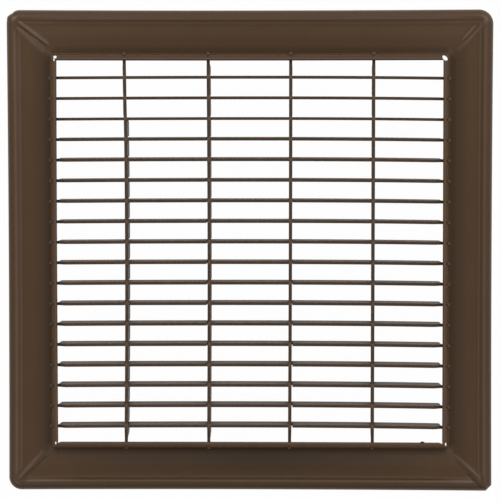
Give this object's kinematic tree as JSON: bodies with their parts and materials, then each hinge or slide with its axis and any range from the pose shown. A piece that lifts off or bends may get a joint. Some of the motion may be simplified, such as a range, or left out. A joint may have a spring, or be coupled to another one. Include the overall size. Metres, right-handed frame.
{
  "type": "return air grille",
  "caption": "Square drop-in return air floor grille: roll-formed steel frame in two folded halves, with tabbed fins half-lapped into deeper crossing mullions, painted brown.",
  "frame": {"origin": "under the middle of the face, in the plane of the mullions' back edges, which is 10.7 mm below the floor plane that the rim rests on", "axes": "+Z out of the face, up from the floor; +X along the fins; +Y along the mullions, towards the rail that is at the top in the picture"},
  "size_m": [0.3, 0.2978, 0.0187],
  "materials": {
    "frame_paint": "satin brown baked paint",
    "fin_paint": "satin brown baked paint",
    "mullion_paint": "satin brown baked paint"
  },
  "bodies": {
    "root": {"frame_upper_right": "frame_paint", "frame_lower_left": "frame_paint", "fin_01": "fin_paint", "fin_02": "fin_paint", "fin_03": "fin_paint", "fin_04": "fin_paint", "fin_05": "fin_paint", "fin_06": "fin_paint", "fin_07": "fin_paint", "fin_08": "fin_paint", "fin_09": "fin_paint", "fin_10": "fin_paint", "fin_11": "fin_paint", "fin_12": "fin_paint", "fin_13": "fin_paint", "fin_14": "fin_paint", "fin_15": "fin_paint", "fin_16": "fin_paint", "fin_17": "fin_paint", "fin_18": "fin_paint", "mullion_1": "mullion_paint", "mullion_2": "mullion_paint", "mullion_3": "mullion_paint", "mullion_4": "mullion_paint"}
  },
  "joints": []
}
